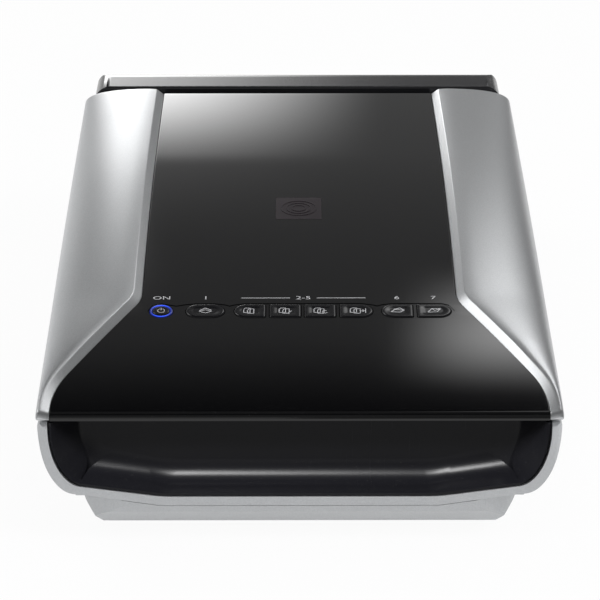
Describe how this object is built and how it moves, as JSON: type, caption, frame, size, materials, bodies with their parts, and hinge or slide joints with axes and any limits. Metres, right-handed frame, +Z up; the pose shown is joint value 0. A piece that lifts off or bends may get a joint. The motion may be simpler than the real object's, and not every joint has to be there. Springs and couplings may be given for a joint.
{
  "type": "film negative scanner",
  "caption": "Flatbed film and document scanner with a hinged lid, hand-grip recess, platen glass, belt-driven scan carriage and a row of keys.",
  "frame": {"origin": "on the table under the middle of the machine", "axes": "+X to the right seen from the front, +Y from the front edge to the back, +Z up"},
  "size_m": [0.272, 0.48, 0.111],
  "materials": {
    "silver_base": "satin silver paint on moulded plastic",
    "silver_lid": "satin silver paint with a fine metallic flake",
    "gloss_black": "polished piano black",
    "satin_black": "fine-textured satin black",
    "dark_grey": "fine-textured dark grey",
    "clear_glass": "clear float glass",
    "clear_plastic": "frosted acrylic",
    "white_plastic": "natural white moulding",
    "white_mat": "soft matt white foam sheet",
    "plated_steel": "zinc-plated steel",
    "bronze": "sintered bronze and brass",
    "mirror_glass": "front-surface mirror",
    "circuit_board": "green solder mask",
    "lamp_white": "white lamp board",
    "black_rubber": "matt rubber",
    "blue_light": "translucent ring lit blue",
    "tile_plum": "dark plum satin plate",
    "key_black": "semi-gloss black keys"
  },
  "bodies": {
    "base": {"lower_tray": "silver_base", "middle_casing": "silver_base", "grip_bezel": "gloss_black", "platen_frame": "dark_grey", "platen_glass": "clear_glass", "calibration_strip": "white_plastic", "rear_housing": "satin_black", "rear_panel": "satin_black", "usb_socket": "plated_steel", "power_socket": "satin_black", "main_board": "circuit_board", "guide_rod": "plated_steel", "rod_holders": "dark_grey", "support_rail": "plated_steel", "drive_motor": "plated_steel", "motor_bracket": "plated_steel", "gear_studs": "plated_steel", "drive_belt": "black_rubber", "belt_tensioner": "plated_steel", "tension_spring": "plated_steel", "flat_cable": "white_plastic", "rubber_feet": "black_rubber", "case_screws": "plated_steel", "left_hinge_bracket": "plated_steel", "right_hinge_bracket": "plated_steel"},
    "lock": {"lock_switch": "dark_grey"},
    "carriage": {"carriage_frame": "dark_grey", "scan_lamp": "lamp_white", "fold_mirrors": "mirror_glass", "lens_barrel": "satin_black", "sensor_board": "circuit_board", "belt_clamp": "dark_grey", "rod_bushes": "bronze", "glide_pads": "white_plastic"},
    "pinion": {"motor_pinion": "bronze"},
    "gear": {"drive_gear": "white_plastic"},
    "idler": {"idler_pulley": "white_plastic"},
    "lid": {"top_panel": "gloss_black", "left_side_cover": "silver_lid", "right_side_cover": "silver_lid", "lid_inner_shell": "dark_grey", "film_lamp_board": "lamp_white", "light_guide": "clear_plastic", "diffuser_window": "clear_plastic", "button_board": "circuit_board", "power_light_ring": "blue_light", "emblem_tile": "tile_plum", "lid_screws": "plated_steel", "hinge_pins": "plated_steel", "lid_bumpers": "black_rubber"},
    "mat": {"document_mat": "white_mat"},
    "power_key": {"power_button": "key_black"},
    "auto_key": {"auto_button": "key_black"},
    "function_key_1": {"function_button_1": "key_black"},
    "function_key_2": {"function_button_2": "key_black"},
    "function_key_3": {"function_button_3": "key_black"},
    "function_key_4": {"function_button_4": "key_black"},
    "copy_key": {"copy_button": "key_black"},
    "mail_key": {"mail_button": "key_black"}
  },
  "joints": [
    {"name": "lid_hinge", "type": "hinge", "parent": "base", "child": "lid", "pos_m": [0, 0.182, 0.099], "axis": [-1, 0, 0], "range_deg": [0, 98]},
    {"name": "mat_slide", "type": "slide", "parent": "lid", "child": "mat", "axis": [0, -1, 0], "range_m": [0, 0.01]},
    {"name": "carriage_slide", "type": "slide", "parent": "base", "child": "carriage", "axis": [0, -1, 0], "range_m": [0, 0.296]},
    {"name": "motor_spin", "type": "hinge", "parent": "base", "child": "pinion", "pos_m": [0.056, 0.166, 0.008], "axis": [0, 0, 1], "continuous": true},
    {"name": "gear_spin", "type": "hinge", "parent": "base", "child": "gear", "pos_m": [0.04, 0.166, 0.008], "axis": [0, 0, 1], "continuous": true},
    {"name": "idler_spin", "type": "hinge", "parent": "base", "child": "idler", "pos_m": [0.04, -0.19595, 0.0125], "axis": [0, 0, 1], "continuous": true},
    {"name": "lock_slide", "type": "slide", "parent": "base", "child": "lock", "axis": [0, 1, 0], "range_m": [0, 0.006]},
    {"name": "power_press", "type": "slide", "parent": "lid", "child": "power_key", "axis": [0, 0.1674, -0.9859], "range_m": [0, 0.001], "stiffness_N_per_m": 300, "springref_m": -0.001},
    {"name": "auto_press", "type": "slide", "parent": "lid", "child": "auto_key", "axis": [0, 0.1674, -0.9859], "range_m": [0, 0.001], "stiffness_N_per_m": 300, "springref_m": -0.001},
    {"name": "function_press_1", "type": "slide", "parent": "lid", "child": "function_key_1", "axis": [0, 0.1674, -0.9859], "range_m": [0, 0.001], "stiffness_N_per_m": 300, "springref_m": -0.001},
    {"name": "function_press_2", "type": "slide", "parent": "lid", "child": "function_key_2", "axis": [0, 0.1674, -0.9859], "range_m": [0, 0.001], "stiffness_N_per_m": 300, "springref_m": -0.001},
    {"name": "function_press_3", "type": "slide", "parent": "lid", "child": "function_key_3", "axis": [0, 0.1674, -0.9859], "range_m": [0, 0.001], "stiffness_N_per_m": 300, "springref_m": -0.001},
    {"name": "function_press_4", "type": "slide", "parent": "lid", "child": "function_key_4", "axis": [0, 0.1674, -0.9859], "range_m": [0, 0.001], "stiffness_N_per_m": 300, "springref_m": -0.001},
    {"name": "copy_press", "type": "slide", "parent": "lid", "child": "copy_key", "axis": [0, 0.1674, -0.9859], "range_m": [0, 0.001], "stiffness_N_per_m": 300, "springref_m": -0.001},
    {"name": "mail_press", "type": "slide", "parent": "lid", "child": "mail_key", "axis": [0, 0.1674, -0.9859], "range_m": [0, 0.001], "stiffness_N_per_m": 300, "springref_m": -0.001}
  ],
  "couplings": [
    {"joint": "gear_spin", "follows": "carriage_slide", "rad_per_m": -153.85},
    {"joint": "idler_spin", "follows": "carriage_slide", "rad_per_m": -153.85},
    {"joint": "motor_spin", "follows": "carriage_slide", "rad_per_m": 461.54}
  ]
}
